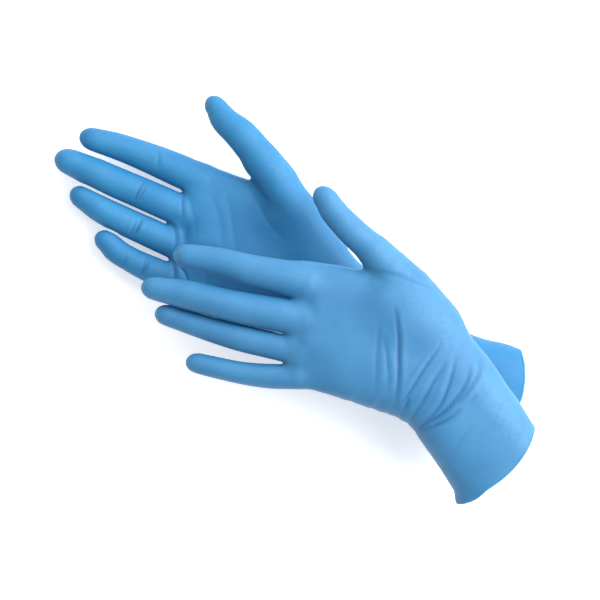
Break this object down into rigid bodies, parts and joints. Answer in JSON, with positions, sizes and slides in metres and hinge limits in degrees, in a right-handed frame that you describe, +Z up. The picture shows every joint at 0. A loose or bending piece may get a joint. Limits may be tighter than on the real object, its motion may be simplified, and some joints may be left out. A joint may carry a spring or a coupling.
{
  "type": "rubber gloves",
  "caption": "Pair of long thin rubber gloves, one palm up and one palm down across it, with hollow finger stalls, bunched wrists and open cuffs that end in a rolled bead.",
  "frame": {"origin": "on the surface the pair lies on, under the middle of its bounding box", "axes": "+X from the fingertips to the cuffs, +Y to the thumbs' side, +Z up"},
  "size_m": [0.321, 0.1568, 0.078],
  "materials": {
    "glove_film": "satin",
    "cuff_bead": "satin"
  },
  "bodies": {
    "right_hand": {"right_hand": "glove_film"},
    "right_thumb_base": {"right_thumb_base": "glove_film"},
    "right_thumb_tip": {"right_thumb_tip": "glove_film"},
    "right_index_base": {"right_index_base": "glove_film"},
    "right_index_tip": {"right_index_tip": "glove_film"},
    "right_middle_base": {"right_middle_base": "glove_film"},
    "right_middle_tip": {"right_middle_tip": "glove_film"},
    "right_ring_base": {"right_ring_base": "glove_film"},
    "right_ring_tip": {"right_ring_tip": "glove_film"},
    "right_little_base": {"right_little_base": "glove_film"},
    "right_little_tip": {"right_little_tip": "glove_film"},
    "right_cuff": {"right_cuff": "glove_film", "right_cuff_bead": "cuff_bead"},
    "left_hand": {"left_hand": "glove_film"},
    "left_thumb_base": {"left_thumb_base": "glove_film"},
    "left_thumb_tip": {"left_thumb_tip": "glove_film"},
    "left_index_base": {"left_index_base": "glove_film"},
    "left_index_tip": {"left_index_tip": "glove_film"},
    "left_middle_base": {"left_middle_base": "glove_film"},
    "left_middle_tip": {"left_middle_tip": "glove_film"},
    "left_ring_base": {"left_ring_base": "glove_film"},
    "left_ring_tip": {"left_ring_tip": "glove_film"},
    "left_little_base": {"left_little_base": "glove_film"},
    "left_little_tip": {"left_little_tip": "glove_film"},
    "left_cuff": {"left_cuff": "glove_film", "left_cuff_bead": "cuff_bead"}
  },
  "joints": [
    {"name": "left_glove_lift_off", "type": "slide", "parent": "right_hand", "child": "left_hand", "axis": [0, 0, 1], "range_m": [0, 0.15]},
    {"name": "right_thumb_root_bend", "type": "hinge", "parent": "right_hand", "child": "right_thumb_base", "pos_m": [-0.05086, 0.05363, 0.0255], "axis": [0.3063, 0.5949, 0.7432], "range_deg": [0, 20], "stiffness_Nm_per_rad": 0.02},
    {"name": "right_thumb_middle_bend", "type": "hinge", "parent": "right_thumb_base", "child": "right_thumb_tip", "pos_m": [-0.06936, 0.06253, 0.026], "axis": [0.3063, 0.5949, 0.7432], "range_deg": [0, 45], "stiffness_Nm_per_rad": 0.02},
    {"name": "right_index_root_bend", "type": "hinge", "parent": "right_hand", "child": "right_index_base", "pos_m": [-0.09186, 0.02963, 0.0145], "axis": [-0.0238, 0.9997, 0], "range_deg": [0, 30], "stiffness_Nm_per_rad": 0.02},
    {"name": "right_index_middle_bend", "type": "hinge", "parent": "right_index_base", "child": "right_index_tip", "pos_m": [-0.11286, 0.02913, 0.015], "axis": [-0.0238, 0.9997, 0], "range_deg": [0, 60], "stiffness_Nm_per_rad": 0.02},
    {"name": "right_middle_root_bend", "type": "hinge", "parent": "right_hand", "child": "right_middle_base", "pos_m": [-0.09336, 0.00873, 0.015], "axis": [-0.0089, 1, 0], "range_deg": [0, 30], "stiffness_Nm_per_rad": 0.02},
    {"name": "right_middle_middle_bend", "type": "hinge", "parent": "right_middle_base", "child": "right_middle_tip", "pos_m": [-0.11586, 0.00853, 0.016], "axis": [-0.0089, 1, 0], "range_deg": [0, 60], "stiffness_Nm_per_rad": 0.02},
    {"name": "right_ring_root_bend", "type": "hinge", "parent": "right_hand", "child": "right_ring_base", "pos_m": [-0.09286, -0.01107, 0.0145], "axis": [0.0222, 0.9998, 0], "range_deg": [0, 30], "stiffness_Nm_per_rad": 0.02},
    {"name": "right_ring_middle_bend", "type": "hinge", "parent": "right_ring_base", "child": "right_ring_tip", "pos_m": [-0.11086, -0.01067, 0.0155], "axis": [0.0222, 0.9998, 0], "range_deg": [0, 60], "stiffness_Nm_per_rad": 0.02},
    {"name": "right_little_root_bend", "type": "hinge", "parent": "right_hand", "child": "right_little_base", "pos_m": [-0.08236, -0.02997, 0.0135], "axis": [0.0708, 0.9975, 0], "range_deg": [0, 30], "stiffness_Nm_per_rad": 0.02},
    {"name": "right_little_middle_bend", "type": "hinge", "parent": "right_little_base", "child": "right_little_tip", "pos_m": [-0.09786, -0.02887, 0.0145], "axis": [0.0708, 0.9975, 0], "range_deg": [0, 60], "stiffness_Nm_per_rad": 0.02},
    {"name": "right_cuff_bend", "type": "hinge", "parent": "right_hand", "child": "right_cuff", "pos_m": [0.03214, -0.00217, 0.0165], "axis": [0, 0, 1], "range_deg": [0, 12], "stiffness_Nm_per_rad": 0.05},
    {"name": "left_thumb_root_bend", "type": "hinge", "parent": "left_hand", "child": "left_thumb_base", "pos_m": [0.03074, 0.03133, 0.061], "axis": [0, 0, 1], "range_deg": [0, 12], "stiffness_Nm_per_rad": 0.02},
    {"name": "left_thumb_middle_bend", "type": "hinge", "parent": "left_thumb_base", "child": "left_thumb_tip", "pos_m": [0.01164, 0.03913, 0.061], "axis": [0, 0, 1], "range_deg": [0, 30], "stiffness_Nm_per_rad": 0.02},
    {"name": "left_index_root_bend", "type": "hinge", "parent": "left_hand", "child": "left_index_base", "pos_m": [-0.00926, -0.00297, 0.0565], "axis": [0.1952, -0.9808, 0], "range_deg": [0, 6], "stiffness_Nm_per_rad": 0.02},
    {"name": "left_index_middle_bend", "type": "hinge", "parent": "left_index_base", "child": "left_index_tip", "pos_m": [-0.03086, -0.00727, 0.055], "axis": [0.1952, -0.9808, 0], "range_deg": [0, 12], "stiffness_Nm_per_rad": 0.02},
    {"name": "left_middle_root_bend", "type": "hinge", "parent": "left_hand", "child": "left_middle_base", "pos_m": [-0.00466, -0.02317, 0.0565], "axis": [0.23, -0.9732, 0], "range_deg": [0, 6], "stiffness_Nm_per_rad": 0.02},
    {"name": "left_middle_middle_bend", "type": "hinge", "parent": "left_middle_base", "child": "left_middle_tip", "pos_m": [-0.03386, -0.03007, 0.0545], "axis": [0.23, -0.9732, 0], "range_deg": [0, 20], "stiffness_Nm_per_rad": 0.02},
    {"name": "left_ring_root_bend", "type": "hinge", "parent": "left_hand", "child": "left_ring_base", "pos_m": [0.00024, -0.04077, 0.0543], "axis": [0.1914, -0.9815, 0], "range_deg": [0, 6], "stiffness_Nm_per_rad": 0.02},
    {"name": "left_ring_middle_bend", "type": "hinge", "parent": "left_ring_base", "child": "left_ring_tip", "pos_m": [-0.02386, -0.04547, 0.0505], "axis": [0.1914, -0.9815, 0], "range_deg": [0, 30], "stiffness_Nm_per_rad": 0.02},
    {"name": "left_little_root_bend", "type": "hinge", "parent": "left_hand", "child": "left_little_base", "pos_m": [0.00594, -0.05687, 0.0525], "axis": [0.2957, -0.9553, 0], "range_deg": [0, 6], "stiffness_Nm_per_rad": 0.02},
    {"name": "left_little_middle_bend", "type": "hinge", "parent": "left_little_base", "child": "left_little_tip", "pos_m": [-0.01086, -0.06207, 0.0495], "axis": [0.2957, -0.9553, 0], "range_deg": [0, 30], "stiffness_Nm_per_rad": 0.02},
    {"name": "left_cuff_bend", "type": "hinge", "parent": "left_hand", "child": "left_cuff", "pos_m": [0.08814, -0.01667, 0.0595], "axis": [-0.5446, -0.8387, 0], "range_deg": [0, 25], "stiffness_Nm_per_rad": 0.05}
  ]
}
